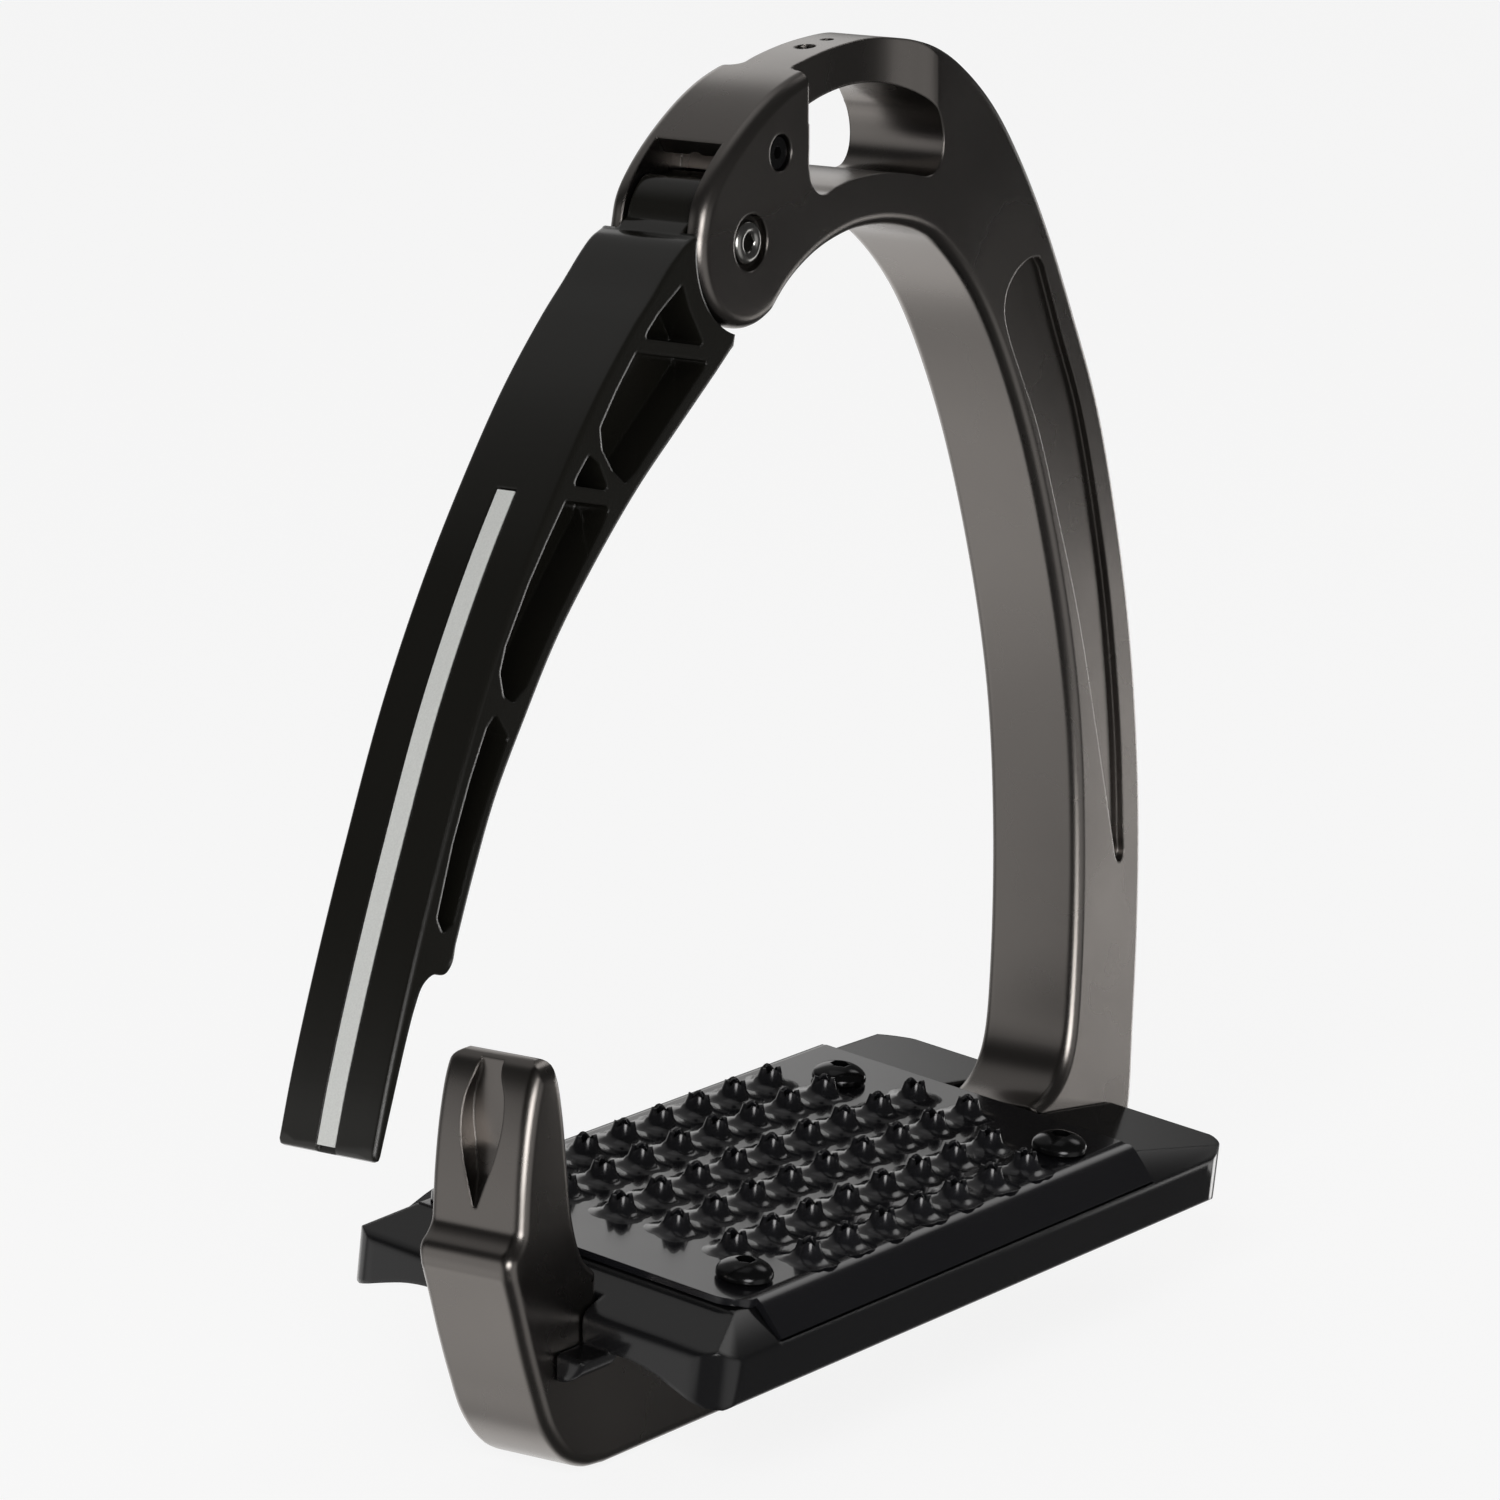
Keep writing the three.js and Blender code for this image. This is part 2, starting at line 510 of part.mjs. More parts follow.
const tension = toMesh('tension_screw', makeGrub(TENSION.radius - 0.3, 2.6, 1.3), BLACK_STEEL);
tension.position.set(TENSION.x, 0, TENSION.foot);
const lock = toMesh('lock_screw', makeGrub(LOCK.radius - 0.25, 3.6, 0.7), BLACK_STEEL);
lock.position.set(LOCK.x, 0, LOCK.foot);
const cheek = toMesh('cheek_screw', makeGrub(CHEEK_SCREW.radius, 4.6, 2), BLACK_STEEL);
cheek.position.set(CHEEK_SCREW.x, -2.1, CHEEK_SCREW.z);
cheek.rotation.x = Math.PI / 2;
stirrup.add(tension, lock, cheek);

const hinge = new THREE.Group();
hinge.position.set(PIN.x, 0, PIN.z);
hinge.rotation.x = -Math.PI / 2;
hinge.add(toMesh('hinge_pin', makePin(), STEEL));
hinge.add(toMesh('hinge_pin_screw', makePinScrew(), STEEL));
[['front', -1], ['back', 1]].forEach(([name, side]) => {
  const bushRing = ring(BUSH.inner, BUSH.outer, BUSH.from, BUSH.from + BUSH.length);
  const washerRing = ring(BUSH.inner, WASHER.radius, WASHER.from, WASHER.from + WASHER.thickness);
  const bush = toMesh(`bushing_${name}`, bushRing, BRONZE);
  const washer = toMesh(`thrust_washer_${name}`, washerRing, STEEL);
  const pair = new THREE.Group();
  pair.rotation.x = side > 0 ? 0 : Math.PI;
  pair.add(bush, washer);
  hinge.add(pair);
});
stirrup.add(hinge);

const tread = new THREE.Group();
tread.position.z = TREAD_HEIGHT;
tread.rotation.x = TREAD_TILT;
tread.add(toMesh('tread_body', makeTread(), BLACK_PLASTIC));
tread.add(toMesh('grip_plate', makePlate(), BLACK_ALLOY));
PLATE_SCREWS.forEach(([name, x, y]) => {
  const screw = toMesh(`plate_screw_${name}`, makePlateScrew(), BLACK_STEEL);
  const insert = toMesh(`plate_insert_${name}`, makePlateInsert(), BRASS);
  screw.position.set(x, y, 0);
  insert.position.set(x, y, 0);
  tread.add(screw, insert);
});
KEEL_BOLTS.forEach(([name, x]) => {
  const bolt = toMesh(`tread_bolt_${name}`, makeKeelBolt(), BLACK_STEEL);
  const insert = toMesh(`tread_insert_${name}`, makeKeelInsert(), BRASS);
  bolt.position.set(x, KEEL_BOLT_DEPTH, 0);
  insert.position.set(x, KEEL_BOLT_DEPTH, 0);
  tread.add(bolt, insert);
});
stirrup.add(tread);

export default stirrup;
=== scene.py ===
"""Looks of the safety stirrup iron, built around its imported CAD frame.

Lengths are in millimetres until they reach a mesh, which is in metres. X runs along the footbed, -Y is
the front, and the keel stands on Z = 0. The footbed, its plate and its screws are drawn level, and LEAN
then tips them towards the front.
"""
import json
import math

import bmesh
import bpy
from mathutils import Matrix, Vector


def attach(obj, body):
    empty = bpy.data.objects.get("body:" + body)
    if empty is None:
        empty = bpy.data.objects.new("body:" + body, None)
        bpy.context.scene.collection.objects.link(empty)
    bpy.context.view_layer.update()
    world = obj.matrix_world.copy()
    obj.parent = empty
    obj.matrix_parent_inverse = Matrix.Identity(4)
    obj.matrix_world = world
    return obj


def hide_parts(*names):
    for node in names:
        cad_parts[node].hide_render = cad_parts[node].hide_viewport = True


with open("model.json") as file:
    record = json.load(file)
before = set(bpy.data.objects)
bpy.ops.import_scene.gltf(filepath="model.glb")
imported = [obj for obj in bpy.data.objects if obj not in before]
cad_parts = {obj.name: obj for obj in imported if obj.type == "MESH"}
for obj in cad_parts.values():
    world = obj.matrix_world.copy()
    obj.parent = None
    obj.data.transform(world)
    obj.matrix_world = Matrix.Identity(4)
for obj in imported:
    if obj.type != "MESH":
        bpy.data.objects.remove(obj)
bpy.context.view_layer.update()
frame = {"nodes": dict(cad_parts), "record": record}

MM = 0.001
DEPTH = 15.5  # of the frame and the arm, from front to back
HALF = DEPTH / 2
THROUGH = 20  # cuts from -THROUGH to THROUGH pass through that whole depth
PIN = (-21.2, 158.7)
CHEEK_SCREW = (-14.4, 169.8)
EAR_INNER = 5.35  # half the gap between the hinge cheeks
KNUCKLE_HALF = 5.05  # half the width of the arm's knuckle between them
SEAT = (-55.6, 49.6)  # the footbed's seat lies between the post and the fixed arm
TILT = math.radians(7.1)
TREAD_Z = 27.7
LEAN = Matrix.Translation((0, 0, TREAD_Z)) @ Matrix.Rotation(TILT, 4, "X")
SCREWS = {"front_left": (-41.8, -21.3), "front_right": (34, -21.8), "back_left": (-41.8, 15.3),
          "back_right": (33, 15.3)}
BOLTS = [(-30, -2), (26, -2)]


# ---- camera -------------------------------------------------------------
CAMERA_PLACE = (-770.4, -535.7, 293.9)
CAMERA_AZIMUTH = -54.82
CAMERA_ELEVATION = 12.5


def make_camera():
    """A long lens at the front left, looking slightly down."""
    data = bpy.data.cameras.new("camera")
    data.sensor_width = 36
    data.lens = 169.4
    data.clip_start = 0.01
    data.clip_end = 50
    cam = bpy.data.objects.new("camera", data)
    bpy.context.scene.collection.objects.link(cam)
    az, el = math.radians(CAMERA_AZIMUTH), math.radians(CAMERA_ELEVATION)
    back = Vector((math.sin(az) * math.cos(el), -math.cos(az) * math.cos(el), math.sin(el)))
    right = Vector((math.cos(az), math.sin(az), 0))
    up = back.cross(right)
    turn = Matrix((right, up, back)).transposed().to_4x4()
    cam.matrix_world = Matrix.Translation(Vector(CAMERA_PLACE) * MM) @ turn
    bpy.context.scene.camera = cam


make_camera()


# ---- outlines -----------------------------------------------------------
def curve(points, per=8):
    """Points on a smooth curve through the given ones, by centripetal Catmull-Rom."""
    pts = [Vector(p) for p in points]
    pts = [2 * pts[0] - pts[1]] + pts + [2 * pts[-1] - pts[-2]]
    out = []
    for i in range(1, len(pts) - 2):
        p0, p1, p2, p3 = pts[i - 1:i + 3]
        t = [0.0]
        for a, b in ((p0, p1), (p1, p2), (p2, p3)):
            t.append(t[-1] + max((b - a).length, 1e-6) ** 0.5)
        for k in range(per):
            s = t[1] + (t[2] - t[1]) * k / per
            a1 = p0.lerp(p1, (s - t[0]) / (t[1] - t[0]))
            a2 = p1.lerp(p2, (s - t[1]) / (t[2] - t[1]))
            a3 = p2.lerp(p3, (s - t[2]) / (t[3] - t[2]))
            b1 = a1.lerp(a2, (s - t[0]) / (t[2] - t[0]))
            b2 = a2.lerp(a3, (s - t[1]) / (t[3] - t[1]))
            out.append(b1.lerp(b2, (s - t[1]) / (t[2] - t[1])))
    out.append(pts[-2])
    return [tuple(p) for p in out]


def arc(cx, cz, r, start, end, n=24):
    """Points on an arc from start to end, in degrees."""
    turns = [math.radians(start + (end - start) * k / n) for k in range(n + 1)]
    return [(cx + r * math.cos(a), cz + r * math.sin(a)) for a in turns]


def clean(points, least=0.05):
    """The closed outline without points that are closer together than least."""
    out = []
    for p in points:
        if not out or (Vector(p) - Vector(out[-1])).length > least:
            out.append(tuple(p))
    if (Vector(out[0]) - Vector(out[-1])).length <= least:
        out.pop()
    return out


def area(points):
    """The outline's area, negative if it runs clockwise."""
    return sum(a[0] * b[1] - b[0] * a[1] for a, b in zip(points, points[1:] + points[:1])) / 2


def rounded(points, r, n=6):
    """A polygon with its corners rounded by about r, or less where an edge is short."""
    out = []
    count = len(points)
    for i, p in enumerate(points):
        p = Vector(p)
        a, b = Vector(points[i - 1]) - p, Vector(points[(i + 1) % count]) - p
        half = a.angle(b) / 2
        reach = min(r / math.tan(half), a.length * 0.49, b.length * 0.49)
        start, end = p + a.normalized() * reach, p + b.normalized() * reach
        for k in range(n + 1):
            t = k / n
            out.append(tuple(start * (1 - t) ** 2 + p * 2 * t * (1 - t) + end * t * t))
    return out


def offset_loop(points, distance):
    """A counter-clockwise outline moved inwards."""
    out = []
    count = len(points)
    for i, p in enumerate(points):
        p = Vector(p)
        d0 = (p - Vector(points[i - 1])).normalized()
        d1 = (Vector(points[(i + 1) % count]) - p).normalized()
        n = Vector((-d0.y, d0.x)) + Vector((-d1.y, d1.x))
        n = n / max(n.length_squared / 2, 0.6)  # the lower limit holds sharp corners back
        out.append(tuple(p + n * distance))
    return out


def mirrored(pairs):
    """Half an outline followed by its mirror image."""
    return pairs + [(-y, z) for y, z in reversed(pairs)]


# ---- solids -------------------------------------------------------------
def new_object(name, mesh):
    ob = bpy.data.objects.new(name, mesh)
    bpy.context.scene.collection.objects.link(ob)
    return ob


def from_bmesh(name, bm):
    mesh = bpy.data.meshes.new(name)
    bm.to_mesh(mesh)
    bm.free()
    return new_object(name, mesh)


def drop(ob):
    bpy.data.objects.remove(ob, do_unlink=True)


# where an outline's two coordinates and the distance along each axis go
AXES = {
    "Y": lambda a, b, t: (a, t, b),
    "X": lambda a, b, t: (t, a, b),
    "Z": lambda a, b, t: (a, b, t),
}


def prism(outline, t0, t1, axis="Y", fillet=0.0, steps=5):
    """A closed solid from t0 to t1 along an axis, its end edges rounded by fillet."""
    pts = clean(outline)
    if area(pts) < 0:
        pts.reverse()
    rings = [(0, t0), (0, t1)]
    if fillet:
        turns = [math.pi / 2 * k / steps for k in range(steps + 1)]
        ends = [(fillet * (1 - math.sin(a)), fillet * (1 - math.cos(a))) for a in turns]
        rings = [(inset, t0 + rise) for inset, rise in ends]
        rings += [(inset, t1 - rise) for inset, rise in reversed(ends)]
    place = AXES[axis]
    bm = bmesh.new()
    loops = []
    for inset, t in rings:
        ring = offset_loop(pts, inset) if inset else pts
        loops.append([bm.verts.new(Vector(place(a, b, t)) * MM) for a, b in ring])
    count = len(pts)
    for low, high in zip(loops, loops[1:]):
        for i in range(count):
            j = (i + 1) % count
            bm.faces.new((low[i], low[j], high[j], high[i]))
    for loop in (loops[0], loops[-1]):
        edges = [bm.edges.get((loop[i], loop[(i + 1) % count])) for i in range(count)]
        bmesh.ops.triangle_fill(bm, use_beauty=True, edges=edges)
    bmesh.ops.recalc_face_normals(bm, faces=bm.faces)
    return from_bmesh("prism", bm)


def lathe(profile, sides=48):
    """A turned solid about Z from radius and height pairs that start and end on the axis, or close."""
    on_axis = 1e-6
    bm = bmesh.new()
    rings = []
    for r, z in profile:
        if r < on_axis:
            rings.append([bm.verts.new((0, 0, z * MM))])
        else:
            rings.append([bm.verts.new((r * MM * math.cos(2 * math.pi * k / sides),
                                        r * MM * math.sin(2 * math.pi * k / sides), z * MM))
                          for k in range(sides)])
    pairs = list(zip(rings, rings[1:]))
    if profile[0][0] > on_axis:
        pairs.append((rings[-1], rings[0]))
    for low, high in pairs:
        for k in range(sides):
            j = (k + 1) % sides
            corners = (low[k % len(low)], low[j % len(low)], high[j % len(high)], high[k % len(high)])
            face = [v for i, v in enumerate(corners) if v not in corners[:i]]
            if len(face) > 2:
                bm.faces.new(face)
    bmesh.ops.recalc_face_normals(bm, faces=bm.faces)
    return from_bmesh("lathe", bm)


def rod(r, z0, z1, sides=32):
    """A plain round bar along Z."""
    return lathe([(0, z0), (r, z0), (r, z1), (0, z1)], sides)


def disc(x, z, r, y0, y1, n=48):
    """A plain round bar along Y."""
    return prism(arc(x, z, r, 0, 360, n)[:-1], y0, y1)


def hexagon(across, z0, z1):
    """A hexagonal bar along Z, sized by its flats."""
    return prism(arc(0, 0, across / math.sqrt(3), 0, 360, 6)[:-1], z0, z1, "Z")


def moved(ob, matrix):
    """Applies a matrix given in millimetres to the mesh."""
    m = matrix.copy()
    m.translation = m.translation * MM
    ob.data.transform(m)
    return ob


def at(x, y, z):
    return Matrix.Translation((x, y, z))


def facing_front(x, z):
    """Turns what is drawn along Z so that its top end faces the front."""
    return at(x, 0, z) @ Matrix.Rotation(math.pi / 2, 4, "X")


def apply_modifier(ob, modifier):
    """Replaces the mesh with what the object's only modifier makes of it."""
    graph = bpy.context.evaluated_depsgraph_get()
    mesh = bpy.data.meshes.new_from_object(ob.evaluated_get(graph))
    ob.modifiers.remove(modifier)
    old = ob.data
    ob.data = mesh
    bpy.data.meshes.remove(old)


def combine(ob, others, operation):
    """Applies a boolean with each of the other solids in turn, and uses them up."""
    for other in others:
        mod = ob.modifiers.new("boolean", "BOOLEAN")
        mod.operation = operation
        mod.solver = "EXACT"
        mod.object = other
        apply_modifier(ob, mod)
        drop(other)
    return ob


def cut(ob, *others):
    return combine(ob, others, "DIFFERENCE")


def join(ob, *others):
    return combine(ob, others, "UNION")


def meet(ob, *others):
    return combine(ob, others, "INTERSECT")


def merge(name, obs):
    """One object from several separate shells."""
    bm = bmesh.new()
    for ob in obs:
        bm.from_mesh(ob.data)
        drop(ob)
    return from_bmesh(name, bm)


def smooth(ob, angle=32):
    """Welds the mesh and shades it smooth, apart from edges that turn by more than angle."""
    bm = bmesh.new()
    bm.from_mesh(ob.data)
    bmesh.ops.remove_doubles(bm, verts=bm.verts, dist=2e-6)
    bmesh.ops.dissolve_degenerate(bm, dist=1e-6, edges=bm.edges)
    bm.to_mesh(ob.data)
    bm.free()
    for p in ob.data.polygons:
        p.use_smooth = True
    ob.data.set_sharp_from_angle(angle=math.radians(angle))
    weighted = ob.modifiers.new("weighted", "WEIGHTED_NORMAL")
    weighted.keep_sharp = True
    apply_modifier(ob, weighted)
    return ob


# ---- materials ----------------------------------------------------------
def material(name, color, metallic, roughness, spread, grain, grain_size, blotch, coat=0.0, edge=0.0):
    """A lit surface whose roughness, colour and fine relief vary from place to place.

    Roughness varies by spread either way and colour by the share blotch, grain is the relief's strength,
    and edge is the radius that sharp edges are shaded with.
    """
    mat = bpy.data.materials.new(name)
    mat.use_nodes = True
    nodes, links = mat.node_tree.nodes, mat.node_tree.links
    shader = nodes["Principled BSDF"]
    shader.inputs["Metallic"].default_value = metallic
    shader.inputs["Coat Weight"].default_value = coat
    shader.inputs["Coat Roughness"].default_value = 0.03
    place = nodes.new("ShaderNodeTexCoord")
    broad = nodes.new("ShaderNodeTexNoise")
    broad.inputs["Scale"].default_value = 45
    broad.inputs["Detail"].default_value = 4
    links.new(place.outputs["Object"], broad.inputs["Vector"])
    fine = nodes.new("ShaderNodeTexNoise")
    fine.inputs["Scale"].default_value = 1 / (grain_size * MM)
    fine.inputs["Detail"].default_value = 3
    links.new(place.outputs["Object"], fine.inputs["Vector"])
    ramp = nodes.new("ShaderNodeMapRange")
    ramp.inputs["From Min"].default_value = 0.3
    ramp.inputs["From Max"].default_value = 0.7
    ramp.inputs["To Min"].default_value = roughness - spread
    ramp.inputs["To Max"].default_value = roughness + spread
    links.new(broad.outputs["Fac"], ramp.inputs["Value"])
    links.new(ramp.outputs["Result"], shader.inputs["Roughness"])
    mix = nodes.new("ShaderNodeMix")
    mix.data_type = "RGBA"
    mix.inputs["A"].default_value = (*[c * (1 - blotch) for c in color], 1)
    mix.inputs["B"].default_value = (*[min(1, c * (1 + blotch)) for c in color], 1)
    links.new(fine.outputs["Fac"], mix.inputs["Factor"])
    links.new(mix.outputs["Result"], shader.inputs["Base Color"])
    bump = nodes.new("ShaderNodeBump")
    bump.inputs["Strength"].default_value = grain
    bump.inputs["Distance"].default_value = 0.02 * MM
    links.new(fine.outputs["Fac"], bump.inputs["Height"])
    if edge:
        bevel = nodes.new("ShaderNodeBevel")
        bevel.samples = 4
        bevel.inputs["Radius"].default_value = edge * MM
        links.new(bevel.outputs["Normal"], bump.inputs["Normal"])
    links.new(bump.outputs["Normal"], shader.inputs["Normal"])
    return mat


SLOTS = {
    "frame_alloy": material("gunmetal_alloy", (0.208, 0.194, 0.183), 1.0, 0.27, 0.03,
                            grain=0.3, grain_size=0.12, blotch=0.06, edge=0.45),
    "arm_polymer": material("arm_black", (0.0065, 0.0062, 0.005), 0.0, 0.14, 0.02,
                            grain=0.06, grain_size=0.4, blotch=0.1, coat=0.25, edge=0.55),
    "tread_polymer": material("tread_black", (0.006, 0.006, 0.0065), 0.0, 0.15, 0.02,
                              grain=0.06, grain_size=0.4, blotch=0.1, coat=0.25, edge=0.8),
    "plate_metal": material("plate_black", (0.012, 0.012, 0.014), 0.35, 0.2, 0.04,
                            grain=0.1, grain_size=0.3, blotch=0.15, coat=0.4, edge=0.2),
    "black_steel": material("black_steel", (0.03, 0.03, 0.031), 0.9, 0.16, 0.03,
                            grain=0.05, grain_size=0.3, blotch=0.1, edge=0.12),
    "bright_steel": material("bright_steel", (0.42, 0.415, 0.4), 1.0, 0.22, 0.05,
                             grain=0.1, grain_size=0.2, blotch=0.05, edge=0.12),
    "insert_brass": material("insert_brass", (0.6, 0.42, 0.18), 1.0, 0.3, 0.05,
                             grain=0.15, grain_size=0.3, blotch=0.1),
    "bronze": material("bushing_bronze", (0.45, 0.28, 0.14), 1.0, 0.4, 0.05,
                       grain=0.3, grain_size=0.2, blotch=0.12),
    "reflective_tape": material("reflective_tape", (0.62, 0.63, 0.61), 0.1, 0.45, 0.04,
                                grain=0.5, grain_size=0.25, blotch=0.14),
}


def piece(ob, name, node, body, slot):
    """Shows a finished object in place of its CAD node."""
    ob.name = name
    ob.data.name = name
    ob.data.materials.clear()
    ob.data.materials.append(SLOTS[slot])
    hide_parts(node)
    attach(ob, body)


# ---- frame --------------------------------------------------------------
def frame_outline():
    """The frame from the front, starting at the hinge cheeks' inner side."""
    arch = curve([(-15.4, 148.9), (-12.6, 151.4), (-9.5, 153.4), (-4.8, 155.5), (0, 156.8), (4.6, 157.4),
                  (11.8, 157.1), (19.1, 155.4), (24, 152.9), (34, 143.7), (44.3, 126.9), (52.6, 105.8),
                  (58.3, 83.5), (60.2, 63), (59.8, 42.7), (58.4, 32.4), (56.6, 28.9), (53.6, 26.6),
                  (SEAT[1], 25.4)])
    seat = [(SEAT[1], 22), (SEAT[0], 22), (SEAT[0], 26.9)]
    post = curve([(SEAT[0], 26.9), (-58.3, 29.5), (-60.4, 35), (-61.5, 43), (-62.4, 50), (-63.4, 54.6),
                  (-64.6, 57), (-66.2, 57.8), (-67.7, 57.1), (-69, 55), (-70.6, 49.6), (-71.8, 42.5),
                  (-72.3, 37)])
    ledge = curve([(-72.3, 37), (-72.5, 35.6), (-73.4, 34.4), (-74.6, 33.4), (-75.1, 32.2), (-74.9, 30)])
    heel = curve([(-74.9, 30), (-73.4, 25.6), (-71.5, 19.6), (-69.4, 13.8), (-66.6, 7.4), (-62.6, 2.8),
                  (-58.4, 0.6), (-54, 0)])
    outside = curve([(20, 0), (40, 1.3), (57, 3.4), (67.6, 6.8), (73, 12), (75.6, 20), (76.6, 32),
                     (77.6, 50), (77.3, 68), (75, 88), (71, 106.5), (65.1, 125.4), (58.3, 139.6),
                     (51.6, 152.1), (45, 162.2), (38.4, 170.2), (32, 175.6), (24.5, 179.8), (15, 182),
                     (5, 181.9), (-5, 180.4), (-14, 177.9), (-22.2, 173.4), (-28.2, 168.6), (-31.1, 165),
                     (-32.3, 161)])
    cheek = arc(*PIN, 11.4, 168.3, 300.7, 40)
    return clean(arch + seat + post + ledge + heel + outside + cheek, 0.25)


SLOT_OUTLINE = curve([(-7.8, 170), (-7.8, 167.2), (-7, 164.6), (-5.4, 163.3), (-3.6, 163.2), (-1, 163.9),
                      (3, 164.5), (9, 164.5), (16, 163.6), (20.6, 162.8), (22.6, 163.3), (24, 165.2),
                      (24.2, 168.4), (22.6, 172), (16.5, 175.4), (8, 176.3), (1, 175.6), (-4, 174.3),
                      (-7.8, 173)]) + [(-7.8, 170)]

LIMB_RECESS = curve([(48.6, 148.4), (46, 148.4), (43, 147.2), (40.4, 144.6), (39.8, 141.6), (41, 138),
                     (43.4, 133.6), (48.4, 124.6), (53.9, 111), (59.6, 95.6), (65.5, 75), (69.3, 61.2),
                     (70.3, 58), (71.3, 57.4), (72.3, 58.4), (72.2, 61), (71.2, 76), (68.4, 94.9),
                     (64.4, 111.5), (59.9, 125.5), (54.5, 136.8), (49.8, 146.9)]) + [(48.6, 148.2)]
LIMB_RECESS_FLOOR = HALF - 1.1


def head_recess(side):
    """Beside the leather bar each face is set back, and comes out again in a long ramp."""
    top = 190
    face = curve([(-8.3, 16), (-8.2, 9), (-7.8, 7), (-7.4, 5), (-6.4, 4), (-4, 4), (6, 4), (11, 4.1),
                  (15.5, 4.9), (19.5, 6.5), (22.8, 7.7), (33, 8.6)], 6) + [(33, 16)]
    plan = prism([(x, y * side) for x, y in face], 165, top, "Z")
    lower = curve([(-20, 172.8), (14, 172.8), (20.6, 171.8), (23.4, 172), (25.4, 173.6), (26.6, 177),
                   (27.2, top)], 8)
    return meet(plan, prism(lower + [(-20, top)], -THROUGH, THROUGH))


def leaf_groove():
    """A leaf-shaped groove in the post's outer face: narrow mouth, wide middle, pointed foot."""
    left = curve([(-0.2, 38.2), (-1.4, 41.5), (-2.7, 45.5), (-3.3, 49.5), (-2.9, 53), (-1.7, 55.8),
                  (-1.2, 60)], 6)
    right = curve([(1.9, 60), (2.3, 55.8), (3.2, 52.5), (3.3, 49), (2.6, 45), (1.4, 41.2), (0.4, 38.2)], 6)
    leaf = prism(left + right, -80, -60, "X")
    floor = prism([(-90, 60), (-90, 36), (-72.4, 37.2), (-69.4, 42), (-68.2, 46), (-67.4, 60)], -8, 8)
    return meet(leaf, floor)


def post_corner(side):
    """What comes off an upper corner of the post to round it."""
    r, top, above = 3.4, 57.9, 62
    turns = [math.pi / 2 * k / 8 for k in range(9)]
    ring = [(side * (HALF - r + r * math.sin(a)), top - r + r * math.cos(a)) for a in turns]
    return prism(ring + [(side * 10, top - r), (side * 10, above), (side * (HALF - r), above)], -80, -57, "X")


def knuckle_pocket():
    """The room between the hinge cheeks, open to the left."""
    back = arc(*PIN, 9, -51.6, 75, 24) + arc(*PIN, 11.3, 75, 98, 8)
    return prism(back + [(-24.3, 172.2), (-40, 182), (-40, 140), (-14.6, 140)], -EAR_INNER, EAR_INNER)


def plunger_bore():
    """The oblique bore that opens into the knuckle's pocket."""
    turn = Vector((0, 0, 1)).rotation_difference(Vector((0.9318, 0, 0.363))).to_matrix().to_4x4()
    return moved(rod(1.2, -2, 10, 24), at(-24.5, 0, 168.5) @ turn)


def make_frame():
    body = prism(frame_outline(), -HALF, HALF, fillet=1.8, steps=6)
    cut(body, prism(SLOT_OUTLINE, -THROUGH, THROUGH))
    cut(body, head_recess(1), head_recess(-1))
    cut(body, prism(LIMB_RECESS, LIMB_RECESS_FLOOR, 12), prism(LIMB_RECESS, -12, -LIMB_RECESS_FLOOR))
    cut(body, knuckle_pocket())
    cut(body, leaf_groove(), post_corner(1), post_corner(-1))
    cut(body, moved(prism([(-20, -9.7), (20, -9.7), (20, 30), (-20, 30)], *SEAT, "X"), LEAN))
    pin_r, sink_r, sink = 2.8, 3.8, HALF - 1.3
    cut(body, disc(*PIN, pin_r, -THROUGH, THROUGH))
    cut(body, disc(*PIN, sink_r, -THROUGH, -sink), disc(*PIN, sink_r, sink, THROUGH))
    cut(body, disc(*CHEEK_SCREW, 2.5, -THROUGH, -1.8))
    for x, r, depth in ((2.4, 1.45, 5.6), (7.6, 0.9, 5)):
        cut(body, moved(rod(r, -depth, 4, 24), at(x, 0, 182)))
    cut(body, plunger_bore())
    head_r, bolt_r, head_z = 4.6, 2.7, -17.6
    for x, y in BOLTS:
        bore = lathe([(0, -60), (head_r, -60), (head_r, head_z), (bolt_r, head_z), (bolt_r, 0), (0, 0)], 40)
        cut(body, moved(bore, LEAN @ at(x, y, 0)))
    return smooth(body)


piece(make_frame(), "frame_look", "frame", "iron", "frame_alloy")


# ---- opening arm --------------------------------------------------------
ARM_OUTER = [(-33.4, 161), (-35.6, 160.2), (-37.8, 158.7), (-42.1, 155), (-46.6, 151.2), (-55, 142.9),
             (-63.6, 132.4), (-72.2, 120.4), (-81, 105.6), (-88.8, 89.2), (-95.4, 74), (-100.2, 61.6),
             (-102.9, 53.4)]
ARM_INNER = [(-28.6, 142.6), (-37.4, 136.2), (-46.3, 129.6), (-55.1, 121.8), (-63.7, 113), (-70.6, 103.9),
             (-77, 94.6), (-81.6, 85.6), (-85.4, 77.2)]


def arm_outline():
    """The arm from the front: outer side, tongue, inner side and the neck at the pin."""
    tip = [(-102.75, 52.75), (-102.3, 52.45), (-101.7, 52.45)]
    tongue = curve([(-101.3, 53), (-98.6, 59.8), (-95.6, 67.2), (-93.8, 71), (-92.3, 73.2), (-90.2, 74.1),
                    (-87.7, 73.7), (-86.2, 74.9), (-85.4, 77.2)], 6)
    neck = [(-25.6, 144.9), (-24.8, 145.4), (-24.4, 146.9), PIN, (-30, 163), (-32, 162)]
    return clean(curve(ARM_OUTER) + tip + tongue + curve(ARM_INNER[::-1]) + neck, 0.2)


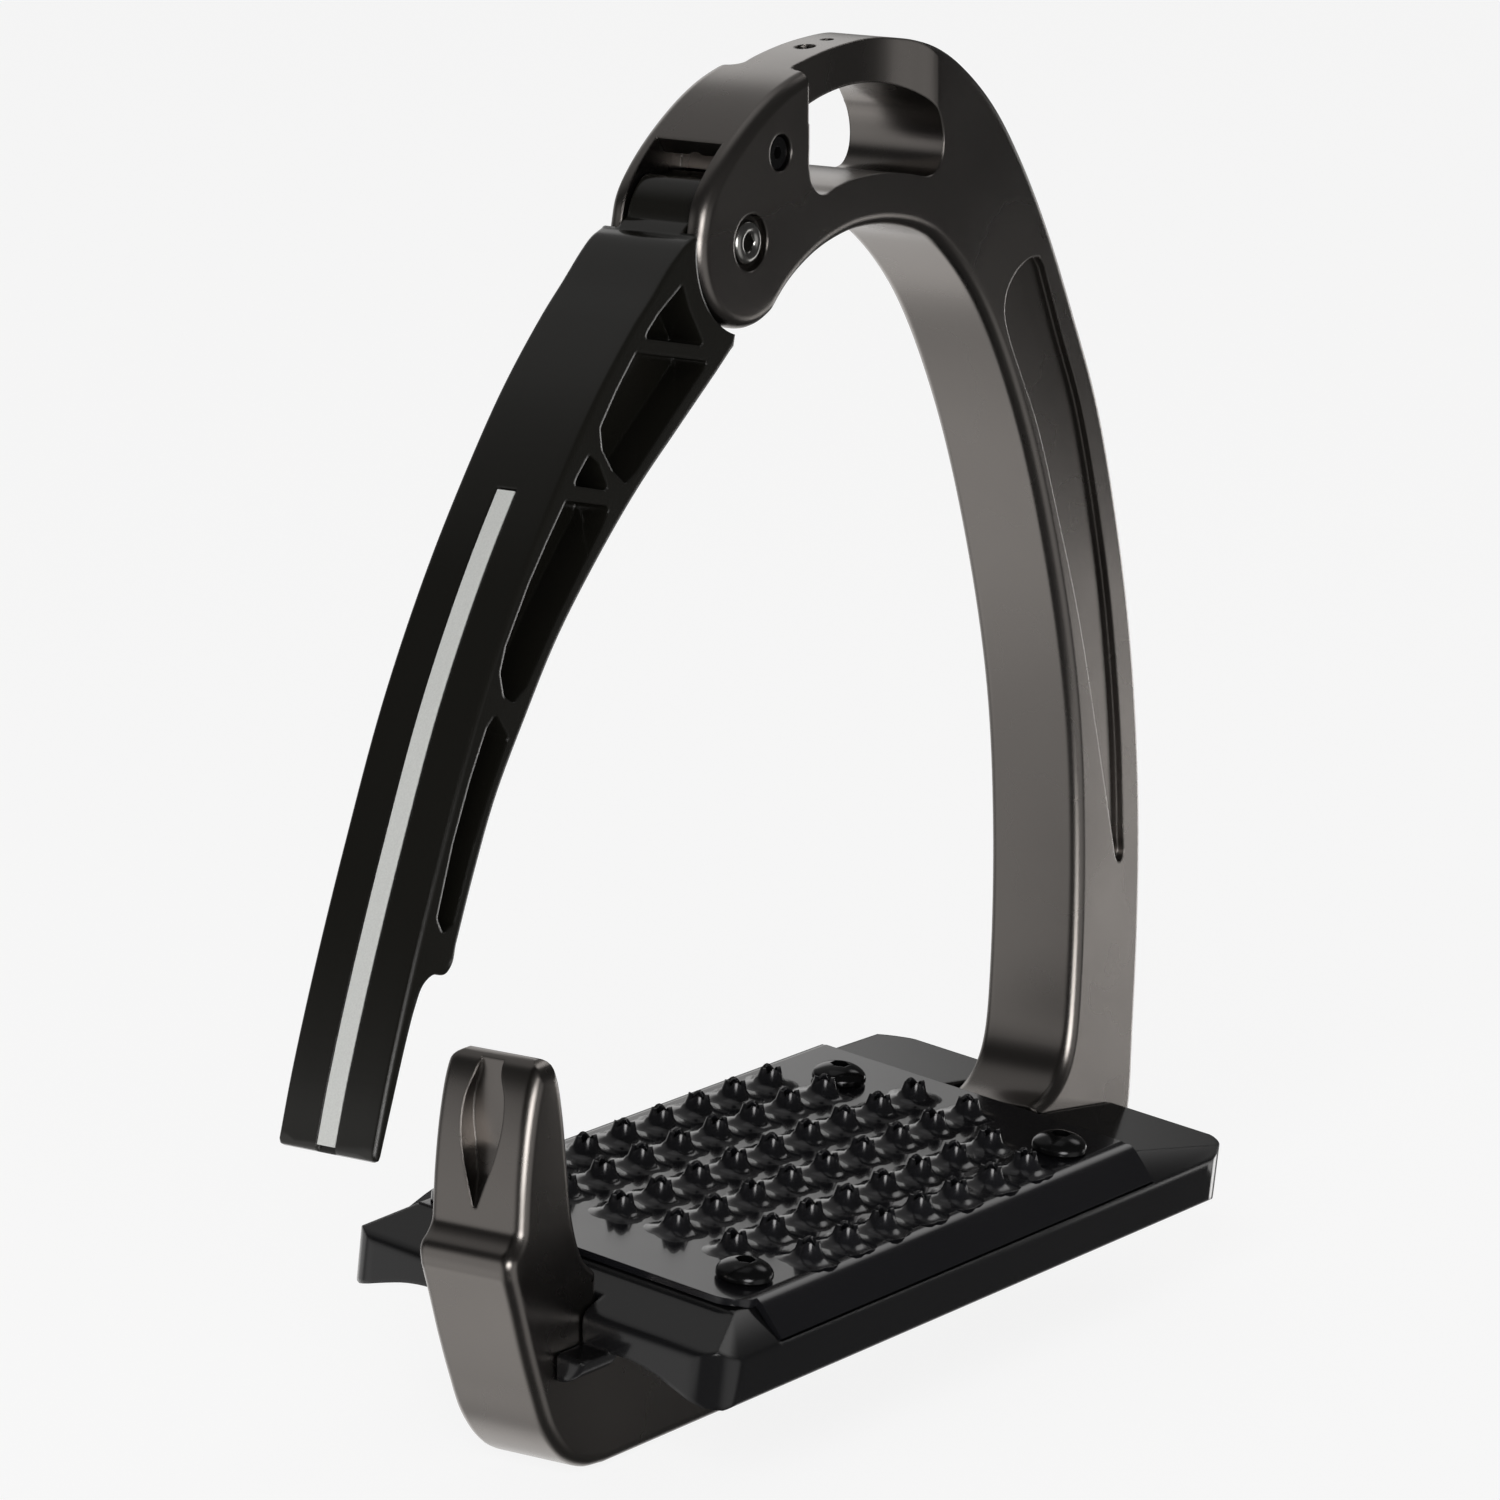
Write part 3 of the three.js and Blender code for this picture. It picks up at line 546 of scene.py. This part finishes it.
# corners and corner radius of each pocket beside the arm's web
ARM_POCKETS = [
    ([(-36.4, 155.2), (-41.8, 152), (-45.2, 149.2), (-31.6, 146.4), (-33, 148.6), (-34.9, 151.6)], 0.7),
    ([(-46.8, 147.6), (-51, 143.3), (-54.6, 138.9), (-54.2, 136), (-52, 133), (-49.2, 130.8), (-47, 131.9),
      (-40.6, 136.8), (-32, 143.2), (-31, 144.4)], 0.8),
    ([(-57, 135.8), (-60.6, 132.3), (-52.6, 130.4), (-54.8, 134.2)], 0.7),
    ([(-62, 130.6), (-66.3, 125.6), (-70, 121), (-74.9, 113.8), (-76.1, 110.6), (-75.4, 107.4),
      (-73.3, 106.2), (-70.6, 107.8), (-64, 115.7), (-54, 126.2), (-52.4, 128.4)], 1),
    ([(-77, 105.5), (-79, 104), (-82.6, 97.8), (-86.2, 90.4), (-89.6, 81.4), (-88.4, 79.1), (-86.2, 80),
      (-81.7, 89.8), (-78.4, 95.6), (-74.4, 102)], 0.9),
]


def face_band(start, end, above, below):
    """The outline of a strip along the arm's outer face, between two shares of the face's points."""
    steps = 40
    path = curve(ARM_OUTER, 16)
    total = len(path) - 1
    tops, bottoms = [], []
    for k in range(steps + 1):
        s = (start + (end - start) * k / steps) * total
        i = min(int(s), total - 1)
        a, b = Vector(path[i]), Vector(path[i + 1])
        p, d = a.lerp(b, s - i), (b - a).normalized()
        n = Vector((d.y, -d.x))
        tops.append(tuple(p + n * above))
        bottoms.append(tuple(p - n * below))
    return tops + bottoms[::-1]


def make_arm():
    body = prism(arm_outline(), -HALF, HALF, fillet=0.6, steps=4)
    cut(body, disc(*PIN, 12.2, -THROUGH, THROUGH, 96))
    neck = prism(arm_outline(), -KNUCKLE_HALF, KNUCKLE_HALF)
    heel = curve([(-24.97, 166.43), (-26.6, 167.5), (-28.4, 166.9), (-30.6, 164.3), (-31.9, 160.5)], 6)
    profile = arc(*PIN, 8.6, 200, 476, 80) + heel
    knuckle = prism(profile, -KNUCKLE_HALF, KNUCKLE_HALF, fillet=0.3)
    join(body, neck, knuckle)
    bushing_r, washer_r, washer_seat = 3.7, 5.5, 4.3
    cut(body, disc(*PIN, bushing_r, -THROUGH, THROUGH))
    cut(body, disc(*PIN, washer_r, -THROUGH, -washer_seat), disc(*PIN, washer_r, washer_seat, THROUGH))
    web = 2.3
    for corners, r in ARM_POCKETS:
        shape = rounded(corners, r)
        cut(body, prism(shape, web, 12), prism(shape, -12, -web))
    cut(body, prism(face_band(0.505, 1.05, 1, 0.65), -1.5, 1.5))
    rib = prism([(-97, 66), (-101.6, 55), (-99.6, 55.6), (-95.4, 66)], -0.8, 0.8)
    join(body, rib)
    return smooth(body)


piece(make_arm(), "arm_look", "opening_arm", "arm", "arm_polymer")
piece(smooth(prism(face_band(0.507, 0.998, 0.04, 0.6), -1.4, 1.4)),
      "strip_look", "reflective_strip", "arm", "reflective_tape")


# ---- footbed ------------------------------------------------------------
def tread_section():
    """The footbed cut across: hollow below, with rounded front and back edges."""
    belly = curve([(-11.5, -8.6), (-16, -8.3), (-20, -8.8), (-24, -10), (-28.4, -11.6)], 4)
    edge = arc(-29.9, -10.6, 1.4, 250, 185, 6) + [(-31.3, -10), (-31.3, -6)] + \
        arc(-30.4, -5.6, 0.9, 180, 135, 5)
    return mirrored([(-9.5, -9.4)] + belly + edge + [(-25.9, -1.3)])


def tread_plan():
    """The footbed from above, its right corners rounder than its left ones."""
    left, right, half = -60, 70.5, 31.3
    right_r, left_r = 11, 6
    return arc(right - right_r, -half + right_r, right_r, -90, 0, 24) + \
        arc(right - right_r, half - right_r, right_r, 0, 90, 24) + \
        arc(left + left_r, half - left_r, left_r, 90, 180, 8) + \
        arc(left + left_r, -half + left_r, left_r, 180, 270, 8)


def tread_side():
    """The footbed from the front: a raised middle between two sloping, rounded ends."""
    top = [(-50.6, -1.5), (-50.6, -1.3), (45, -1.3), (45, -1.5)]
    right = arc(68.45, -6.6, 2, 82, 0, 8) + arc(69.05, -10.4, 1.4, 0, -80, 6)
    below = [(66, -12.4), (66, -20), (-56, -20), (-56, -12.4)]
    return arc(-58.15, -5.6, 1.8, 180, 105, 8) + top + right + below + arc(-58.55, -10.6, 1.4, 250, 180, 6)


def make_tread():
    body = prism(tread_section(), -61, 71.5, "X")
    meet(body, prism(tread_plan(), -20, 0, "Z"), prism(tread_side(), -40, 40))
    hook = curve([(-13.6, -8.4), (-12.6, -10.6), (-10.8, -12), (-8.6, -12.3), (-6.9, -11.6), (-6, -9.8),
                  (-6, -8.4)], 5)
    join(body, prism(hook, -65.6, -57, "X", fillet=0.8))
    rebate = [(25.86, -1.3), (30.29, -5.73), (32, -4.02), (32, 1), (25.86, 1)]
    for side in (1, -1):
        cut(body, prism([(y * side, z) for y, z in rebate], -46.3, 45.7, "X"))
    gap, width = 0.3, HALF + 0.35
    notch = [(-width, -20), (width, -20), (width, 60), (-width, 60)]
    for x0, x1 in ((-90, SEAT[0] + gap), (SEAT[1] - gap, 90)):
        cut(body, moved(prism(notch, x0, x1, "X"), LEAN.inverted()))
    for x, y in SCREWS.values():
        cut(body, moved(rod(3.5, -8.7, 1), at(x, y, 0)))
    for x, y in BOLTS:
        cut(body, moved(rod(4, -30, -3), at(x, y, 0)))
    return smooth(moved(body, LEAN))


piece(make_tread(), "tread_look", "tread_body", "iron", "tread_polymer")


# ---- grip plate ---------------------------------------------------------
TOOTH_PITCH = 8.8
TOOTH_ROWS = [(-22.9, -29.4, 7), (-14.6, -34.8, 8), (-5.1, -34.8, 9), (3.9, -35.2, 9), (13.3, -35.4, 8),
              (20.7, -29.4, 7)]  # y, first x, count
TEETH = [(first + TOOTH_PITCH * k, y) for y, first, count in TOOTH_ROWS for k in range(count)]

# radius, height, share of the tear's lift and spread below the points, up the outside and down the inside
CROWN = [
    (3.7, -0.02, 0, 0.2), (3.05, 0.14, 0, 0.2), (2.45, 0.5, 0, 0), (1.95, 1.15, 0.4, 0), (1.55, 2.15, 1, 0),
    (1.0, 2.05, 1, 0), (1.25, 1.3, 0.4, 0), (1.5, 0.3, 0, 0), (1.7, -0.9, 0, 0),
]


def crown(x, y, turn):
    """A tooth punched up out of the sheet: a flared cone torn into four points round an open hole."""
    sides = 24
    bm = bmesh.new()
    rings = []
    for r, z, lift, spread in CROWN:
        ring = []
        for k in range(sides):
            a = 2 * math.pi * k / sides + turn
            torn = abs(math.cos(2 * (a - turn)))
            height, radius = z, r * (1 + spread * torn)
            if lift:
                height = z + 0.85 * torn * lift - 0.2
                radius = r - 0.12 * torn
            ring.append(bm.verts.new(((x + radius * math.cos(a)) * MM, (y + radius * math.sin(a)) * MM,
                                      height * MM)))
        rings.append(ring)
    for low, high in zip(rings, rings[1:] + rings[:1]):
        for k in range(sides):
            j = (k + 1) % sides
            bm.faces.new((low[k], low[j], high[j], high[k]))
    bmesh.ops.recalc_face_normals(bm, faces=bm.faces)
    return from_bmesh("crown", bm)


def plate_section():
    """The sheet cut across, its front and back edges folded down."""
    flat, lip, fall = 26.4, 31, 4.6
    edge = 0.71  # the 1 mm sheet's end face, across and down
    return curve([(-lip, -fall), (-flat - 1.2, -1.15), (-flat, -0.3), (-flat + 1, 0)], 3) + \
        curve([(flat - 1, 0), (flat, -0.3), (flat + 1.2, -1.15), (lip, -fall)], 3) + \
        curve([(lip - edge, -fall - edge), (26.5, -1.6), (25.6, -1.05), (24.6, -1)], 3) + \
        curve([(-24.6, -1), (-25.6, -1.05), (-26.5, -1.6), (-lip + edge, -fall - edge)], 3)


def plate_plan():
    """The sheet from above: its flat part passes the lips at the left, and they pass it at the right."""
    sides = [(-46, -40), (45.4, -40), (45.4, -26.6), (44.6, -26), (44.6, 26), (45.4, 26.6), (45.4, 40),
             (-46, 40), (-46, 26.4)]
    return sides + arc(-46.3, 22.4, 4, 90, 180, 10) + arc(-46.3, -22.4, 4, 180, 270, 10) + [(-46, -26.4)]


def make_plate():
    body = prism(plate_section(), -50.3, 46, "X")
    meet(body, prism(plate_plan(), -10, 1, "Z"))
    holes = [moved(rod(2.3, -3, 1, 24), at(x, y, 0)) for x, y in SCREWS.values()]
    holes += [moved(rod(1.65, -3, 1, 16), at(x, y, 0)) for x, y in TEETH]
    cut(body, merge("holes", holes))
    crowns = [crown(x, y, math.radians(45 + 7 * ((i * 37) % 5 - 2))) for i, (x, y) in enumerate(TEETH)]
    return smooth(moved(merge("plate", [body] + crowns), LEAN), 40)


piece(make_plate(), "plate_look", "grip_plate", "iron", "plate_metal")


# ---- screws and pins ----------------------------------------------------
def make_plate_screw():
    """A button head screw with a hex socket."""
    shank, head = 1.95, 3.9
    turns = [math.pi / 2 * k / 14 for k in range(13)]
    dome = [(head * math.cos(a), 0.75 + 1.95 * math.sin(a)) for a in turns]
    shape = [(0, -8), (1.6, -8), (shank, -7.6), (shank, 0.3), (3.75, 0.3), (head, 0.45)] + dome + [(0, 2.7)]
    return cut(lathe(shape, 56), hexagon(2.5, 1.1, 5))


def make_pin():
    """The hinge pin, hollow from the back, with a rounded rim round the socket in its head."""
    turns = [math.pi * k / 12 for k in range(13)]
    rim = [(2.0 + 0.95 * math.cos(a), HALF - 0.75 + 0.7 * math.sin(a)) for a in turns]
    shape = [(0, -HALF + 1.6), (2.5, -HALF + 1.6), (2.5, HALF - 1.5), (3.1, HALF - 1.3)] + rim + \
        [(1.0, HALF - 1.0), (0, HALF - 1.0)]
    return cut(lathe(shape, 64), hexagon(2.2, HALF - 2.6, 12), rod(1.7, -12, 1))


def make_pin_screw():
    """The screw that closes the hinge pin."""
    shape = [(0, 0), (1.4, 0), (1.4, HALF - 1), (3.1, HALF - 1), (3.3, HALF - 0.8), (3.3, HALF - 0.35),
             (3.1, HALF - 0.12), (0, HALF - 0.1)]
    return cut(lathe(shape, 64), hexagon(2, HALF - 1.6, 12))


def make_cheek_screw():
    """A set screw almost flush with the front cheek."""
    end = HALF - 0.5
    shape = [(0, 2.1), (2.1, 2.1), (2.3, 2.3), (2.3, end - 0.2), (2.1, end), (0, end)]
    return cut(lathe(shape, 40), hexagon(1.6, end - 1.2, 12))


for where, (sx, sy) in SCREWS.items():
    screw = smooth(moved(make_plate_screw(), LEAN @ at(sx, sy, 0)))
    piece(screw, f"screw_{where}_look", f"plate_screw_{where}", "iron", "black_steel")

piece(smooth(moved(make_pin(), facing_front(*PIN))), "pin_look", "hinge_pin", "iron", "bright_steel")
FACING_BACK = facing_front(*PIN) @ Matrix.Rotation(math.pi, 4, "X")
piece(smooth(moved(make_pin_screw(), FACING_BACK)), "pin_screw_look", "hinge_pin_screw", "iron",
      "bright_steel")
piece(smooth(moved(make_cheek_screw(), facing_front(*CHEEK_SCREW))), "cheek_screw_look", "cheek_screw",
      "iron", "black_steel")


# ---- carried-over nodes -------------------------------------------------
for entry in frame["record"]["subparts"]:
    ob = frame["nodes"][entry["node"]]
    ob.data.materials.clear()
    ob.data.materials.append(SLOTS[entry["material_slot"]])


# ---- floor, light -------------------------------------------------------
def make_floor():
    """A pale floor that glows evenly, isn't mirrored in the part and casts no shadow."""
    mesh = bpy.data.meshes.new("floor")
    reach = 8
    corners = [(-reach, -reach, 0), (reach, -reach, 0), (reach, reach, 0), (-reach, reach, 0)]
    mesh.from_pydata(corners, [], [(0, 1, 2, 3)])
    ob = new_object("floor", mesh)
    ob.location.z = -0.0002
    mat = bpy.data.materials.new("floor_pale")
    mat.use_nodes = True
    shader = mat.node_tree.nodes["Principled BSDF"]
    shader.inputs["Base Color"].default_value = (0.16, 0.16, 0.16, 1)
    shader.inputs["Roughness"].default_value = 0.9
    shader.inputs["Specular IOR Level"].default_value = 0
    shader.inputs["Emission Color"].default_value = (1, 1, 1, 1)
    shader.inputs["Emission Strength"].default_value = 0.87
    mesh.materials.append(mat)
    ob.visible_glossy = False
    ob.visible_shadow = False


def area_light(name, place, target, size, power, color=(1, 1, 1), glossy=True):
    """A rectangular light that the camera doesn't see, with its places and size in metres."""
    data = bpy.data.lights.new(name, "AREA")
    data.shape = "RECTANGLE"
    data.size, data.size_y = size
    data.energy = power
    data.color = color
    ob = bpy.data.objects.new(name, data)
    ob.location = place
    direction = Vector(target) - Vector(place)
    ob.rotation_euler = direction.to_track_quat("-Z", "Y").to_euler()
    ob.visible_camera = False
    ob.visible_glossy = glossy
    bpy.context.scene.collection.objects.link(ob)


LOBES = [  # direction, level, degrees of full light, degrees where it ends
    ((-0.75, 0.55, -0.37), 0.56, 18, 46),
    ((-0.22, 0.56, -0.80), 0.42, 12, 36),
    ((0.45, 0.56, -0.68), 0.95, 12, 38),
    ((0.66, 0.66, 0.34), 1.05, 4, 22),
    ((0.25, 0.57, 0.78), 0.24, 15, 45),
    ((-0.60, -0.77, 0.05), 8, 6, 20),
    ((0.75, -0.10, 0.65), 1.8, 4, 13),
    ((0.10, -0.95, -0.30), 0.45, 10, 32),
    ((0.97, 0.0, -0.20), 3, 5, 14),
    ((0.35, 0.90, -0.28), 0.45, 12, 36),
]
AMBIENT = 0.05


def make_world():
    """A dark studio with a few soft boxes, each a patch of light in one direction."""
    world = bpy.data.worlds.new("studio")
    bpy.context.scene.world = world
    world.use_nodes = True
    nodes, links = world.node_tree.nodes, world.node_tree.links
    place = nodes.new("ShaderNodeTexCoord")
    total = None
    for direction, level, full, end in LOBES:
        toward = nodes.new("ShaderNodeVectorMath")
        toward.operation = "DOT_PRODUCT"
        toward.inputs[1].default_value = Vector(direction).normalized()
        links.new(place.outputs["Generated"], toward.inputs[0])
        fade = nodes.new("ShaderNodeMapRange")
        fade.interpolation_type = "SMOOTHSTEP"
        fade.inputs["From Min"].default_value = math.cos(math.radians(end))
        fade.inputs["From Max"].default_value = math.cos(math.radians(full))
        fade.inputs["To Max"].default_value = level
        links.new(toward.outputs["Value"], fade.inputs["Value"])
        add = nodes.new("ShaderNodeMath")
        add.inputs[0].default_value = AMBIENT
        if total:
            links.new(total, add.inputs[0])
        links.new(fade.outputs["Result"], add.inputs[1])
        total = add.outputs["Value"]
    background = nodes["Background"]
    background.inputs["Color"].default_value = (1, 0.99, 0.98, 1)
    links.new(total, background.inputs["Strength"])


make_floor()
make_world()
area_light("right_card", (0.44, -0.225, -0.045), (0.07, 0, 0.06), (0.12, 0.13), 0.066, (1, 0.985, 0.97))
area_light("overhead", (0.2, 0.1, 1.6), (0, 0, 0), (0.9, 0.9), 0.6)
area_light("fill", (-1.3, -0.5, 0.9), (0, 0, 0.1), (0.8, 0.8), 8, glossy=False)
bpy.context.scene.view_settings.view_transform = "Standard"
